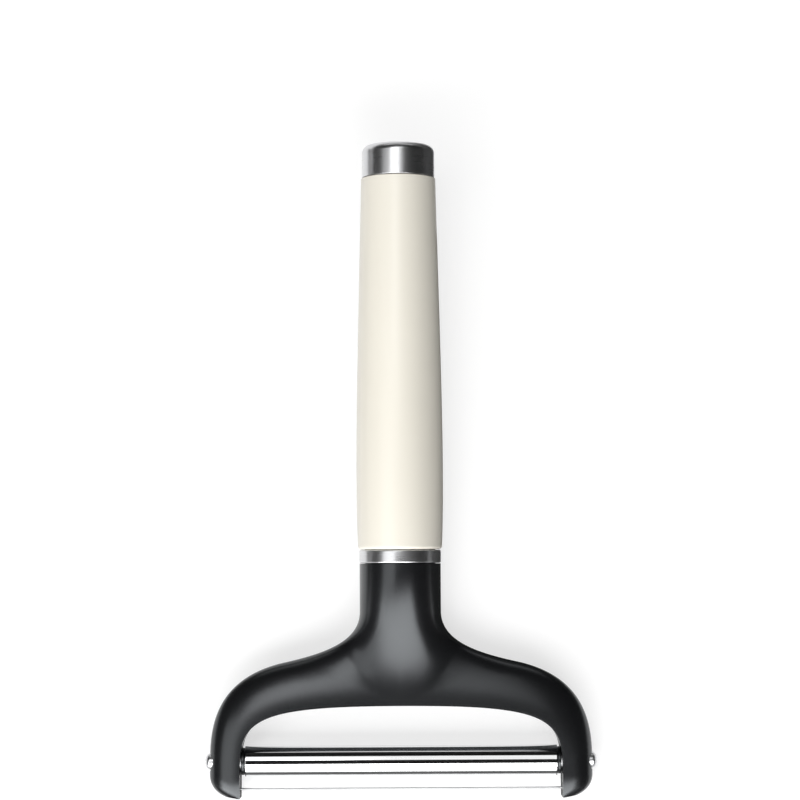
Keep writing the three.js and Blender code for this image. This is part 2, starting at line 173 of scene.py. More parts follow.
# %% Joined and cut shapes
def combined(mesh, operation, shapes):
    """The mesh with the shapes joined to it, for UNION, or taken out of it, for DIFFERENCE."""
    block = in_scene("block", mesh)
    tools = [in_scene("tool", mesh_of(shape, "tool")) for shape in shapes]
    for tool in tools:
        step = block.modifiers.new("step", "BOOLEAN")
        step.operation = operation
        step.solver = "EXACT"
        step.object = tool
    depsgraph = bpy.context.evaluated_depsgraph_get()
    result = bpy.data.meshes.new_from_object(block.evaluated_get(depsgraph))
    for spare in [block, *tools]:
        spare_mesh = spare.data
        bpy.data.objects.remove(spare)
        bpy.data.meshes.remove(spare_mesh)
    return result


def box(size, middle=Vector((0, 0, 0))):
    bm = bmesh.new()
    bmesh.ops.create_cube(bm, size=1)
    bmesh.ops.scale(bm, vec=size, verts=bm.verts)
    bmesh.ops.translate(bm, vec=middle, verts=bm.verts)
    return bm


# %% [markdown]
# ## Writing a finish
# A finish is a node tree, but its maths reads better as maths. One small class wraps a socket, so that
# adding or multiplying two of them adds the Math node. Every other node comes from one method that
# takes the node's type, its settings and what goes into its sockets. The floor and the sky use it too.

# %% Shader maths
class Signal:
    """A shader socket that can be used in sums."""

    def __init__(self, nodes, socket):
        self.nodes = nodes
        self.socket = socket

    def _math(self, operation, first, second):
        return self.nodes.node("ShaderNodeMath", {"operation": operation}, {0: first, 1: second})

    def __add__(self, other):
        return self._math("ADD", self, other)

    def __sub__(self, other):
        return self._math("SUBTRACT", self, other)

    def __rsub__(self, other):
        return self._math("SUBTRACT", other, self)

    def __mul__(self, other):
        return self._math("MULTIPLY", self, other)

    def __pow__(self, other):
        return self._math("POWER", self, other)

    def __or__(self, other):
        return self._math("MAXIMUM", self, other)

    __radd__ = __add__
    __rmul__ = __mul__


# %% Node trees
class Nodes:
    """A node tree whose nodes are added one at a time."""

    def __init__(self, tree):
        self.tree = tree

    def node(self, kind, settings, inputs, output=0):
        made = self.tree.nodes.new(kind)
        for key, value in settings.items():
            setattr(made, key, value)
        for key, value in inputs.items():
            self.feed(self.find(made.inputs, key), value)
        return Signal(self, self.find(made.outputs, output))

    @staticmethod
    def find(sockets, key):
        """A socket by its number, its identifier or its name."""
        if isinstance(key, int):
            return sockets[key]
        return next((s for s in sockets if s.identifier == key), None) or sockets[key]

    def feed(self, socket, value):
        if isinstance(value, Signal):
            self.tree.links.new(value.socket, socket)
        else:
            socket.default_value = value

    def seen(self):
        """1 for a ray from the camera, from a mirror or through glass, and 0 for other light."""
        kinds = ("Is Camera Ray", "Is Glossy Ray", "Is Transmission Ray")
        camera, mirror, glass = [self.node("ShaderNodeLightPath", {}, {}, kind) for kind in kinds]
        return camera | mirror | glass


# %% Materials
class Finish(Nodes):
    """A material, its main shader and the patterns that a finish is made of."""

    def __init__(self, name, **constants):
        self.material = bpy.data.materials.new(name)
        self.material.use_nodes = True
        super().__init__(self.material.node_tree)
        self.shader = self.tree.nodes["Principled BSDF"]
        for socket, value in constants.items():
            self.set(socket.replace("_", " "), value)

    def set(self, name, value):
        self.feed(self.shader.inputs[name], value)

    def tool_place(self):
        """The point on the piece in tool millimetres, from its Object coordinates."""
        spot = self.node("ShaderNodeTexCoord", {}, {}, "Object")
        return self.node("ShaderNodeMapping", {"vector_type": "POINT"}, {
            "Vector": spot, "Location": to_table.inverted().translation, "Rotation": (-tilt, 0, 0),
            "Scale": (1 / MM,) * 3,
        })

    def noise(self, place, scale, detail):
        pattern = {"Vector": place, "Scale": scale, "Detail": detail}
        return self.node("ShaderNodeTexNoise", {}, pattern, "Fac")

    def blend(self, amount, first, second):
        colours = {"Factor_Float": amount, "A_Color": first, "B_Color": second}
        return self.node("ShaderNodeMix", {"data_type": "RGBA"}, colours, "Result_Color")

    def relief(self, height, strength, distance):
        bump = {"Height": height, "Strength": strength, "Distance": distance}
        self.set("Normal", self.node("ShaderNodeBump", {}, bump))

    def split(self, place):
        return [self.node("ShaderNodeSeparateXYZ", {}, {0: place}, axis) for axis in "XYZ"]

    def joined(self, x, y, z):
        return self.node("ShaderNodeCombineXYZ", {}, {0: x, 1: y, 2: z})


# %% [markdown]
# ## The finishes
# An image could be wrapped round each piece, but a pattern worked out from the place on the piece has
# no seam and needs no unwrapping. The grip is a warm white plastic with a soft gloss. The bow and the
# bushes are black plastic from a finely grained mould. The cap, the ferrule and the screws are steel
# with the fine rings that a polishing lathe leaves. The roller is polished until it mirrors, and the
# wire keeps the greyer, lengthwise grain of the die that it was drawn through.

# %% Cream plastic
CREAM_PALE = (0.768, 0.734, 0.647, 1)
CREAM_DEEP = (0.744, 0.71, 0.625, 1)


def cream_plastic():
    finish = Finish("cream_plastic", IOR=1.5, Coat_Roughness=0.12)
    place = finish.tool_place()
    cloud = finish.noise(place, scale=0.035, detail=3)
    grain = finish.noise(place, scale=1.6, detail=2)
    finish.set("Base Color", finish.blend(cloud, CREAM_PALE, CREAM_DEEP))
    finish.set("Roughness", 0.3 + 0.08 * grain)
    finish.set("Coat Weight", 0.1 + 0.1 * cloud)
    finish.relief(grain, strength=0.05, distance=0.1 * MM)
    return finish.material


cream = cream_plastic()
print("finish:", cream.name)

# %% Black plastic
BLACK_DEEP = (0.006, 0.0063, 0.007, 1)
BLACK_PALE = (0.008, 0.0083, 0.009, 1)
COOL_GLOSS = (0.92, 0.965, 1, 1)


def black_plastic():
    finish = Finish("black_plastic", IOR=1.62, Specular_Tint=COOL_GLOSS)
    place = finish.tool_place()
    cloud = finish.noise(place, scale=0.06, detail=3)
    grain = finish.noise(place, scale=5, detail=2)
    finish.set("Base Color", finish.blend(cloud, BLACK_DEEP, BLACK_PALE))
    finish.set("Roughness", 0.21 + 0.05 * grain + 0.04 * cloud)
    finish.relief(grain, strength=0.1, distance=0.05 * MM)
    return finish.material


black = black_plastic()
print("finish:", black.name)

# %% Satin steel
SATIN_DARK = (0.63, 0.635, 0.645, 1)
SATIN_LIGHT = (0.68, 0.685, 0.695, 1)
RINGS_PER_MM = 9.0
RING_DRIFT = 0.05


def radius_of(first, second):
    return (first * first + second * second) ** 0.5


def satin_steel(name, about_grip):
    """Steel with fine polishing rings round the grip's axis, or round the roller's."""
    finish = Finish(name, Metallic=1.0)
    place = finish.tool_place()
    x, y, z = finish.split(place)
    ring = radius_of(x, z) + y if about_grip else radius_of(y + ROLLER_DROP, z) + x
    rings = finish.joined(ring * RINGS_PER_MM, x * RING_DRIFT, y * RING_DRIFT)
    lines = finish.noise(rings, scale=1, detail=3)
    smudge = finish.noise(place, scale=0.12, detail=2)
    finish.set("Base Color", finish.blend(lines, SATIN_DARK, SATIN_LIGHT))
    finish.set("Roughness", 0.24 + 0.05 * lines + 0.04 * smudge)
    finish.relief(lines, strength=0.03, distance=0.02 * MM)
    return finish.material


satin = satin_steel("satin_steel", about_grip=True)
satin_across = satin_steel("satin_steel_across", about_grip=False)
print("finishes:", satin.name, satin_across.name)

# %% Polished and drawn steel
MIRROR_DARK = (0.76, 0.765, 0.77, 1)
MIRROR_LIGHT = (0.82, 0.825, 0.83, 1)
DRAWN_DARK = (0.34, 0.345, 0.35, 1)
DRAWN_LIGHT = (0.44, 0.445, 0.45, 1)
GRAIN_ALONG = 0.1
GRAIN_ACROSS = 12.0


def polished_steel():
    finish = Finish("polished_steel", Metallic=1.0)
    smudge = finish.noise(finish.tool_place(), scale=0.15, detail=3)
    finish.set("Base Color", finish.blend(smudge, MIRROR_DARK, MIRROR_LIGHT))
    finish.set("Roughness", 0.03 + 0.05 * smudge)
    return finish.material


def drawn_steel():
    """Wire steel: greyer than the roller, with the fine lengthwise grain of the drawing die."""
    finish = Finish("drawn_steel", Metallic=1.0)
    x, y, z = finish.split(finish.tool_place())
    grain = finish.joined(x * GRAIN_ALONG, y * GRAIN_ACROSS, z * GRAIN_ACROSS)
    lines = finish.noise(grain, scale=1, detail=3)
    finish.set("Base Color", finish.blend(lines, DRAWN_DARK, DRAWN_LIGHT))
    finish.set("Roughness", 0.3 + 0.12 * lines)
    return finish.material


polished = polished_steel()
drawn = drawn_steel()
print("finishes:", polished.name, drawn.name)

# %% [markdown]
# ## The grip
# The grip is moulded round a tapered core. Its side swells near the hand's heel and tapers to the end
# cap. Rings could be scaled by hand to follow it, but one cubic curve describes it well and stays
# smooth. The outline also has the socket at the shoulder and the spigot that the cap is pressed on, so
# that the piece is right where two pieces meet.

# %% Curves
def cubic(p0, p1, p2, p3):
    def at(t):
        s = 1 - t
        return p0 * s ** 3 + p1 * (3 * s * s * t) + p2 * (3 * s * t * t) + p3 * t ** 3
    return at


def straight(start, end):
    return lambda t: start.lerp(end, t)


def mix(first, second, t):
    return first + (second - first) * t


# %% Grip
GRIP_LENGTH = 103.0
GRIP_FOOT = 11.6
GRIP_SWELL = Vector((12.6, 24))
GRIP_TAPER = Vector((11.35, 58))
GRIP_TOP = 10.35
GRIP_SIDE_START = 1.1
GRIP_SIDE_STEPS = 60
GRIP_FOOT_EDGE = 0.9
GRIP_TOP_EDGE = 0.25
SOCKET_RADIUS = 9.85
SOCKET_DEPTH = 6.15
BORE_FOOT = 9.2
BORE_TOP = 7.6
SPIGOT_RADIUS = 9.5
SPIGOT_DROP = 0.65
SPIGOT_TOP = cap_top - SPIGOT_DROP
SPIGOT_EDGE = 1.6


def grip_bore(height):
    return mix(BORE_FOOT, BORE_TOP, height / SPIGOT_TOP)


grip_side = cubic(
    Vector((GRIP_FOOT, GRIP_SIDE_START)), GRIP_SWELL, GRIP_TAPER, Vector((GRIP_TOP, GRIP_LENGTH)),
)
grip = turned(closed([
    (grip_bore(SOCKET_DEPTH), SOCKET_DEPTH), (SOCKET_RADIUS, SOCKET_DEPTH), (SOCKET_RADIUS, 0),
    (GRIP_FOOT, 0),
    *[tuple(grip_side(i / GRIP_SIDE_STEPS)) for i in range(GRIP_SIDE_STEPS + 1)],
    (SPIGOT_RADIUS, GRIP_LENGTH), (SPIGOT_RADIUS, SPIGOT_TOP), (grip_bore(SPIGOT_TOP), SPIGOT_TOP),
]))
round_ring(grip, GRIP_FOOT, 0, GRIP_FOOT_EDGE, segments=6)
round_ring(grip, GRIP_TOP, GRIP_LENGTH, GRIP_TOP_EDGE)
round_ring(grip, SPIGOT_RADIUS, SPIGOT_TOP, SPIGOT_EDGE, segments=8)
finished("handle_grip", "slicer", cream, mesh_of(grip, "grip"))

# %% [markdown]
# ## The cap and the ferrule
# The cap is a cup drawn from thin sheet, so its outer corner is a generous round. A solidified disc
# would do, but the outline of sheet and corner in one spin keeps the wall even. The ferrule is a plain
# ring that covers the seam between grip and bow.

# %% Cap
CAP_RADIUS = 10.1
CAP_WALL = 0.5
CAP_SEAM = 103.15
CAP_EDGE = 2.2
CAP_LIP = 0.15

cap_bore = CAP_RADIUS - CAP_WALL
cap_ceiling = cap_top - CAP_WALL
cap = turned([
    (0, cap_ceiling), (cap_bore, cap_ceiling), (cap_bore, CAP_SEAM), (CAP_RADIUS, CAP_SEAM),
    (CAP_RADIUS, cap_top), (0, cap_top),
])
round_ring(cap, CAP_RADIUS, cap_top, CAP_EDGE, segments=12)
round_ring(cap, cap_bore, cap_ceiling, CAP_EDGE - CAP_WALL, segments=8)
round_ring(cap, CAP_RADIUS, CAP_SEAM, CAP_LIP)
finished("end_cap", "slicer", satin, mesh_of(cap, "cap"))

# %% Ferrule
RING_RADIUS = 11.25
RING_BORE = 9.85
RING_TOP = -0.15
RING_FOOT = -3.75
RING_EDGE = 0.4

ferrule = turned(closed([
    (RING_BORE, RING_FOOT), (RING_RADIUS, RING_FOOT), (RING_RADIUS, RING_TOP), (RING_BORE, RING_TOP),
]))
for height in (RING_FOOT, RING_TOP):
    round_ring(ferrule, RING_RADIUS, height, RING_EDGE)
finished("ferrule_ring", "slicer", satin, mesh_of(ferrule, "ferrule"))

# %% [markdown]
# ## The bow
# Neck, bow and arms are one moulding. Its front outline has two lines: an inner one, down the middle of
# the neck and then along the underside of the bow and the inside of an arm, and an outer one along the
# flare, the shoulder and the outside of the arm. Joining matched points on the two lines gives stations,
# and over each station stands a round section that gets thinner from the neck to the arm. A subdivided
# cage could be pulled to this shape, but a flat grid carries it more exactly: its rows are the stations,
# and its columns run round the section. One half is made, then mirrored.

# %% Sizes of the bow
NECK_RADIUS = 11.2
NECK_TOP = -3.9
FLARE_TOP = -17.0
ARCH_Y = -42.7
ARCH_RISE = 16.5
ARM_INNER = 44.1
ARM_WIDTH = 8.4
ARM_OUTER = ARM_INNER + ARM_WIDTH
ROLLER_Y = -ROLLER_DROP
WIRE_Y = -65.45
TIP_Y = -67.85
TIP_RISE = 6.1
TIP_FLAT = 1.5
TIP_TOP = TIP_Y + TIP_RISE
SHOULDER_REACH = 31.9
SHOULDER_Y = -30.9
SHOULDER_SLOPE = 0.217
print(f"the bow is {2 * ARM_OUTER:.1f} mm wide, with {2 * ARM_INNER:.1f} mm between its arms")

# %% Lines of the bow
FLARE_DROP = 0.56  # how far each curve keeps its first and its last direction
FLARE_LEAN = 0.59
SHOULDER_RUN = 0.95
SHOULDER_DROP = 0.33
ARCH_RUN = 0.85
ARCH_DROP = 0.17


def shoulder_point(run):
    return Vector((SHOULDER_REACH + run, SHOULDER_Y - run * SHOULDER_SLOPE))


flare = cubic(
    Vector((NECK_RADIUS, FLARE_TOP)), Vector((NECK_RADIUS, mix(FLARE_TOP, SHOULDER_Y, FLARE_DROP))),
    shoulder_point(-FLARE_LEAN * (SHOULDER_REACH - NECK_RADIUS)), shoulder_point(0),
)
shoulder_line = cubic(
    shoulder_point(0), shoulder_point(SHOULDER_RUN * (ARM_OUTER - SHOULDER_REACH)),
    Vector((ARM_OUTER, mix(ROLLER_Y, SHOULDER_Y, SHOULDER_DROP))), Vector((ARM_OUTER, ROLLER_Y)),
)
arch = cubic(
    Vector((0, ARCH_Y)), Vector((ARM_INNER * ARCH_RUN, ARCH_Y)),
    Vector((ARM_INNER, ARCH_Y - ARCH_RISE * ARCH_DROP)), Vector((ARM_INNER, ARCH_Y - ARCH_RISE)),
)


def tip(t):
    angle = -t * math.pi / 2
    reach = Vector(((ARM_WIDTH - TIP_FLAT) * math.cos(angle), TIP_RISE * math.sin(angle)))
    return Vector((ARM_INNER + TIP_FLAT, TIP_TOP)) + reach


# %% Stations
FLARE_AT_ARCH = 0.62
ARCH_AT_SHOULDER = 0.16

neck_foot = Vector((0, FLARE_TOP))
arch_middle = Vector((0, ARCH_Y))
arm_top = Vector((ARM_INNER, ARCH_Y - ARCH_RISE))
arm_foot = Vector((ARM_INNER, TIP_TOP))
arm_tip = Vector((ARM_INNER, TIP_Y))
spans = [  # inner line, outer line, number of rows
    (straight(Vector((0, NECK_TOP)), neck_foot), straight(Vector((NECK_RADIUS, NECK_TOP)), flare(0)), 10),
    (straight(neck_foot, arch_middle), lambda t: flare(t * FLARE_AT_ARCH), 36),
    (lambda t: arch(t * ARCH_AT_SHOULDER), lambda t: flare(mix(FLARE_AT_ARCH, 1, t)), 24),
    (lambda t: arch(mix(ARCH_AT_SHOULDER, 1, t)), shoulder_line, 72),
    (straight(arm_top, arm_foot), straight(shoulder_line(1), tip(0)), 12),
    (straight(arm_foot, arm_tip), tip, 24),
]
stations = [(inner(i / steps), outer(i / steps)) for inner, outer, steps in spans for i in range(steps)]
stations.append((arm_tip, tip(1)))
ARCH_ROW = spans[0][2] + spans[1][2]
print(len(stations), "stations, of which the bow starts at", ARCH_ROW)

# %% Sections of the bow
BOW_DEPTH = 11.0
ARM_TIP_DEPTH = 10.0
EASE_TOP = -5.0
EASE_FOOT = -39.5
SADDLE_MIDDLE = 5.0
SADDLE_REACH = 17.0
CORNER_ROWS = 18
BOW_ROUNDNESS = 2.2  # power of the bow's section: 2 is an ellipse
TIP_THINNING = 0.6


def clamped(value):
    return max(0.0, min(1.0, value))


def smooth(value):
    t = clamped(value)
    return t * t * (3 - 2 * t)


def ease(y):
    """How far the neck has given way to the bow: 0 on the neck, 1 at the underside of the bow."""
    return smooth((EASE_TOP - y) / (EASE_TOP - EASE_FOOT))


def half_depth(y):
    down_arm = clamped((ARCH_Y - y) / (ARCH_Y - TIP_Y))
    down_tip = clamped((TIP_TOP - y) / TIP_RISE)
    bow_half = mix(BOW_DEPTH, ARM_TIP_DEPTH, down_arm) / 2
    return mix(NECK_RADIUS, bow_half, ease(y)) * math.sqrt(1 - (TIP_THINNING * down_tip) ** 2)


def rounded_inner(row, reach):
    """A row's inner point, averaged over nearby rows: the inner line's corner fades with the reach."""
    span = min(round(reach * CORNER_ROWS), row, len(stations) - 1 - row)
    near = [inner for inner, outer in stations[row - span:row + span + 1]]
    return sum(near, Vector((0, 0))) / len(near)


def on_section(row, turn):
    """The point of a row's section at a turn from -1, inner edge at the back, to 1 at the front."""
    inner, outer = stations[row]
    power = 2 / mix(2, BOW_ROUNDNESS, ease(inner.y))
    angle = turn * math.pi / 2
    reach = max(0.0, math.cos(angle)) ** power
    flat = rounded_inner(row, reach).lerp(outer, reach)
    height = mix(flat.y, inner.y, smooth((flat.x - SADDLE_MIDDLE) / (SADDLE_REACH - SADDLE_MIDDLE)))
    depth = math.copysign(abs(math.sin(angle)) ** power * half_depth(height), turn)
    return Vector((flat.x, flat.y, depth))


# %% Skin of the bow
COLUMNS = 48

bow = bmesh.new()
rows = len(stations) - 1
bmesh.ops.create_grid(bow, x_segments=COLUMNS, y_segments=rows, size=1)
arch_start = ARCH_ROW / rows * 2 - 1 - WELD
rims = [
    e for e in bow.edges
    if all(abs(abs(v.co.x) - 1) < WELD and v.co.y > arch_start for v in e.verts)
]
tip_edges = [e for e in bow.edges if all(v.co.y > 1 - WELD for v in e.verts)]
for vert in bow.verts:
    vert.co = on_section(round((vert.co.y + 1) / 2 * rows), vert.co.x)
walls = bmesh.ops.bridge_loops(bow, edges=rims)
print("inner wall:", len(walls["faces"]), "faces")

# %% Close and mirror
wall_end = [e for e in walls["edges"] if all(abs(v.co.y - TIP_Y) < WELD for v in e.verts)]
bmesh.ops.edgenet_fill(bow, edges=tip_edges + wall_end)
whole = bow.verts[:] + bow.edges[:] + bow.faces[:]
bmesh.ops.mirror(bow, geom=whole, matrix=Matrix.Identity(4), merge_dist=WELD, axis="X")
bmesh.ops.remove_doubles(bow, verts=bow.verts, dist=WELD)
open_edges = [e for e in bow.edges if e.is_boundary]
print("open edges, all round the neck's top:", len(open_edges))

# %% [markdown]
# ## Spigot and tang
# Above the neck the moulding goes on inside the ferrule and the grip: a hollow spigot, which centres
# them, and a tang of two crossed ribs, which is bonded in the grip's bore. The neck's open edge is
# already round, so it is drawn on, ring by ring. The ribs are plain boxes and are joined with a boolean.

# %% Spigot of the neck
HEAD_SPIGOT = 9.75
HEAD_SPIGOT_TOP = 6.0
HEAD_SPIGOT_BORE = 6.0
BOW_EDGE = 0.55
BOW_CORNER = math.radians(40)


def grown(bm, edges, spread, rise):
    """A new ring of faces from a loop of edges, scaled across the grip's axis and lifted along it."""
    made = bmesh.ops.extrude_edge_only(bm, edges=edges)["geom"]
    ring = [part for part in made if isinstance(part, bmesh.types.BMVert)]
    bmesh.ops.scale(bm, vec=(spread, 1, spread), verts=ring)
    bmesh.ops.translate(bm, vec=(0, rise, 0), verts=ring)
    new_edges = [part for part in made if isinstance(part, bmesh.types.BMEdge)]
    return [edge for edge in new_edges if all(vert in ring for vert in edge.verts)]


ledge = grown(bow, open_edges, HEAD_SPIGOT / NECK_RADIUS, 0)
rim = grown(bow, ledge, 1, HEAD_SPIGOT_TOP - NECK_TOP)
mouth = grown(bow, rim, HEAD_SPIGOT_BORE / HEAD_SPIGOT, 0)
floor_ring = grown(bow, mouth, 1, NECK_TOP - HEAD_SPIGOT_TOP)
bmesh.ops.edgenet_fill(bow, edges=floor_ring)
bmesh.ops.recalc_face_normals(bow, faces=bow.faces)
round_edges(bow, [e for e in bow.edges if e.is_convex and e.calc_face_angle(0) > BOW_CORNER], BOW_EDGE)
print("bow:", len(bow.faces), "faces,", sum(e.is_boundary for e in bow.edges), "open edges")

# %% Tang
TANG_TOP = 28.0
TANG_RIB = 2.4
TANG_GAP = 0.1
TANG_ROOT = 1.0

tang_foot = NECK_TOP - TANG_ROOT
tang_reach = grip_bore(TANG_TOP) - TANG_GAP
rib_width = 2 * math.sqrt(tang_reach ** 2 - (TANG_RIB / 2) ** 2)
rib_length = TANG_TOP - tang_foot
tang_middle = Vector((0, (tang_foot + TANG_TOP) / 2, 0))
ribs = [
    box((rib_width, rib_length, TANG_RIB), tang_middle),
    box((TANG_RIB, rib_length, rib_width), tang_middle),
]
head_blank = combined(mesh_of(bow, "bow"), "UNION", ribs)
print("bow and tang:", len(head_blank.polygons), "faces")

# %% [markdown]
# ## Bores and wire channel
# Each arm holds the end of the axle in a socket, a screw from the outside, and the wire, which turns
# up in a channel and hooks round the screw. The holes could be modelled into the skin, but boolean
# cuts make them as drills and mould pins do, and leave the skin's rows alone.

# %% Wire route
SCREW_RADIUS = 1.25
WIRE_RADIUS = 0.3
WIRE_GAP = 0.15
WIRE_BEND = 1.1
BEND_PULL = 2 / 3
RECESS_DEPTH = 2.4
RECESS_FLOOR = ARM_OUTER - RECESS_DEPTH
HOOK_X = RECESS_FLOOR + WIRE_GAP + WIRE_RADIUS
HOOK_RADIUS = SCREW_RADIUS + WIRE_GAP + WIRE_RADIUS
HOOK_TURN = math.radians(240)

hook_distance = ROLLER_Y - WIRE_Y
tail_slant = math.asin(HOOK_RADIUS / hook_distance)
tail_length = math.sqrt(hook_distance ** 2 - HOOK_RADIUS ** 2)


def tail_point(length):
    return Vector((HOOK_X, WIRE_Y + length * math.cos(tail_slant), length * math.sin(tail_slant)))


def bend_points(count=8):
    corner, hole = Vector((HOOK_X, WIRE_Y, 0)), Vector((HOOK_X - WIRE_BEND, WIRE_Y, 0))
    start = tail_point(WIRE_BEND)
    bend = cubic(start, start.lerp(corner, BEND_PULL), hole.lerp(corner, BEND_PULL), hole)
    return [bend(i / count) for i in range(count + 1)]


def hook_points(count=36):
    touch = tail_point(tail_length)
    start = math.atan2(touch.z, touch.y - ROLLER_Y)
    points = []
    for i in range(count, 0, -1):
        angle = start - i / count * HOOK_TURN
        y, z = HOOK_RADIUS * math.cos(angle), HOOK_RADIUS * math.sin(angle)
        points.append(Vector((HOOK_X, ROLLER_Y + y, z)))
    return points + [touch]


def other_side(point):
    return Vector((-point.x, point.y, point.z))


print(f"the wire's tail is {tail_length:.2f} mm long")


# %% Round wire
def tube(points, radius, resolution=4):
    """A round wire along the points, as a mesh, from a bevelled curve."""
    curve = bpy.data.curves.new("route", "CURVE")
    curve.dimensions = "3D"
    curve.bevel_depth = radius
    curve.bevel_resolution = resolution
    curve.use_fill_caps = True
    spline = curve.splines.new("POLY")
    spline.points.add(len(points) - 1)
    for spot, point in zip(spline.points, points):
        spot.co = (*point, 1)
    holder = in_scene("route", curve)
    depsgraph = bpy.context.evaluated_depsgraph_get()
    mesh = bpy.data.meshes.new_from_object(holder.evaluated_get(depsgraph))
    bpy.data.objects.remove(holder)
    bpy.data.curves.remove(curve)
    bm = bmesh.new()
    bm.from_mesh(mesh)
    bpy.data.meshes.remove(mesh)
    bmesh.ops.remove_doubles(bm, verts=bm.verts, dist=WELD)
    bmesh.ops.recalc_face_normals(bm, faces=bm.faces)
    return bm


# %% Cuts in the arms
SIDES = {"right": 1, "left": -1}
AXLE_SOCKET = 3.0
SOCKET_BORE = 2.35
SCREW_BORE = 1.35
RECESS_RADIUS = 2.65
LAND_RADIUS = 4.0
OVERCUT = 1.0


def turned_across(profile, side, steps):
    """An outline turned round the roller's axis, on the right or the left."""
    return turned([(radius, side * height) for radius, height in profile], ROLLER_AXIS, steps)


def to_roller(bm):
    bmesh.ops.translate(bm, vec=(0, ROLLER_Y, 0), verts=bm.verts)
    return bm


def arm_bore(side):
    return to_roller(turned_across([
        (0, ARM_INNER - OVERCUT), (LAND_RADIUS, ARM_INNER - OVERCUT), (LAND_RADIUS, ARM_INNER),
        (SOCKET_BORE, ARM_INNER), (SOCKET_BORE, ARM_INNER + AXLE_SOCKET),
        (SCREW_BORE, ARM_INNER + AXLE_SOCKET), (SCREW_BORE, RECESS_FLOOR), (RECESS_RADIUS, RECESS_FLOOR),
        (RECESS_RADIUS, ARM_OUTER + OVERCUT), (0, ARM_OUTER + OVERCUT),
    ], side, steps=64))


def wire_hole(side):
    path = [tail_point(tail_length), *bend_points(), Vector((ARM_INNER - OVERCUT, WIRE_Y, 0))]
    return tube(path if side > 0 else [other_side(p) for p in path], WIRE_RADIUS + WIRE_GAP)


def wire_slot(side):
    width = ARM_OUTER + OVERCUT - HOOK_X
    gauge = 2 * (WIRE_RADIUS + WIRE_GAP)
    middle = tail_point(tail_length / 2) + Vector((width / 2, 0, 0))
    bm = box((width, tail_length + gauge, gauge))
    bmesh.ops.rotate(bm, cent=(0, 0, 0), matrix=Matrix.Rotation(tail_slant, 3, "X"), verts=bm.verts)
    bmesh.ops.translate(bm, vec=(side * middle.x, middle.y, middle.z), verts=bm.verts)
    return bm


cutters = [cut(side) for side in SIDES.values() for cut in (arm_bore, wire_hole, wire_slot)]
head = combined(head_blank, "DIFFERENCE", cutters)
finished("head_frame", "slicer", black, head)

# %% [markdown]
# ## Roller, bushes, screws and wire
# The roller is a polished tube that turns with its two plastic bushes on the fixed axle. A dome-headed
# screw at each end holds the axle and clamps the wire's hook under a washer. All of these are turned
# parts, so they are spun like the grip, and only the cross in a screw's head is cut. The wire follows
# a line of points, so a bevelled curve makes it.

# %% Roller
ROLLER_RADIUS = 4.2
ROLLER_BORE = 3.0
ROLLER_END = 42.8
ROLLER_EDGE = 0.3
ROLLER_BORE_EDGE = 0.15


def across_piece(name, body, finish, bm):
    finished(name, body, finish, mesh_of(to_roller(bm), name))


roller = turned(closed([
    (ROLLER_BORE, -ROLLER_END), (ROLLER_RADIUS, -ROLLER_END),
    (ROLLER_RADIUS, ROLLER_END), (ROLLER_BORE, ROLLER_END),
]), ROLLER_AXIS)
for end in (-ROLLER_END, ROLLER_END):
    round_ring(roller, ROLLER_RADIUS, end, ROLLER_EDGE, ROLLER_AXIS)
    round_ring(roller, ROLLER_BORE, end, ROLLER_BORE_EDGE, ROLLER_AXIS)
across_piece("roller_tube", "roller", polished, roller)

# %% Bushes
COLLAR_RADIUS = 3.7
COLLAR_FACE = 43.8
COLLAR_BACK = 42.9
COLLAR_EDGE = 0.2
BUSH_DEPTH = 9.0
BUSH_FOOT = ROLLER_END - BUSH_DEPTH
BUSH_BORE = 2.35
BUSH_SLEEVE = 2.9

for name, side in SIDES.items():
    bush = turned_across(closed([
        (BUSH_BORE, BUSH_FOOT), (BUSH_SLEEVE, BUSH_FOOT), (BUSH_SLEEVE, COLLAR_BACK),
        (COLLAR_RADIUS, COLLAR_BACK), (COLLAR_RADIUS, COLLAR_FACE), (BUSH_BORE, COLLAR_FACE),
    ]), side, steps=96)
    for height in (COLLAR_BACK, COLLAR_FACE):
        round_ring(bush, COLLAR_RADIUS, side * height, COLLAR_EDGE, ROLLER_AXIS)
    across_piece(f"roller_bush_{name}", "roller", black, bush)

# %% Screws
SCREW_TIP = 40.95
SCREW_TIP_EDGE = 0.3
SCREW_SEAT = 51.5
SCREW_HEAD = 2.2
SCREW_PROUD = 1.3
DOME_STEPS = 16
DRIVE_LENGTH = 2.4
DRIVE_WIDTH = 0.6
DRIVE_HEIGHT = 1.9
DRIVE_DEPTH = 0.9
DRIVE_FLOOR = ARM_OUTER + SCREW_PROUD - DRIVE_DEPTH


def drive_slot(side, length, width):
    middle = Vector((side * (DRIVE_FLOOR + DRIVE_HEIGHT / 2), ROLLER_Y, 0))
    return box((DRIVE_HEIGHT, length, width), middle)


dome = [i / DOME_STEPS * math.pi / 2 for i in range(DOME_STEPS)]
screw_profile = [
    (0, SCREW_TIP), (SCREW_RADIUS, SCREW_TIP), (SCREW_RADIUS, SCREW_SEAT), (SCREW_HEAD, SCREW_SEAT),
    *[(SCREW_HEAD * math.cos(a), ARM_OUTER + SCREW_PROUD * math.sin(a)) for a in dome],
    (0, ARM_OUTER + SCREW_PROUD),
]
for name, side in SIDES.items():
    screw = turned_across(screw_profile, side, steps=72)
    round_ring(screw, SCREW_RADIUS, side * SCREW_TIP, SCREW_TIP_EDGE, ROLLER_AXIS)
    cross = [drive_slot(side, DRIVE_LENGTH, DRIVE_WIDTH), drive_slot(side, DRIVE_WIDTH, DRIVE_LENGTH)]
    screw_mesh = combined(mesh_of(to_roller(screw), "screw"), "DIFFERENCE", cross)
    finished(f"axle_screw_{name}", "slicer", satin_across, screw_mesh)

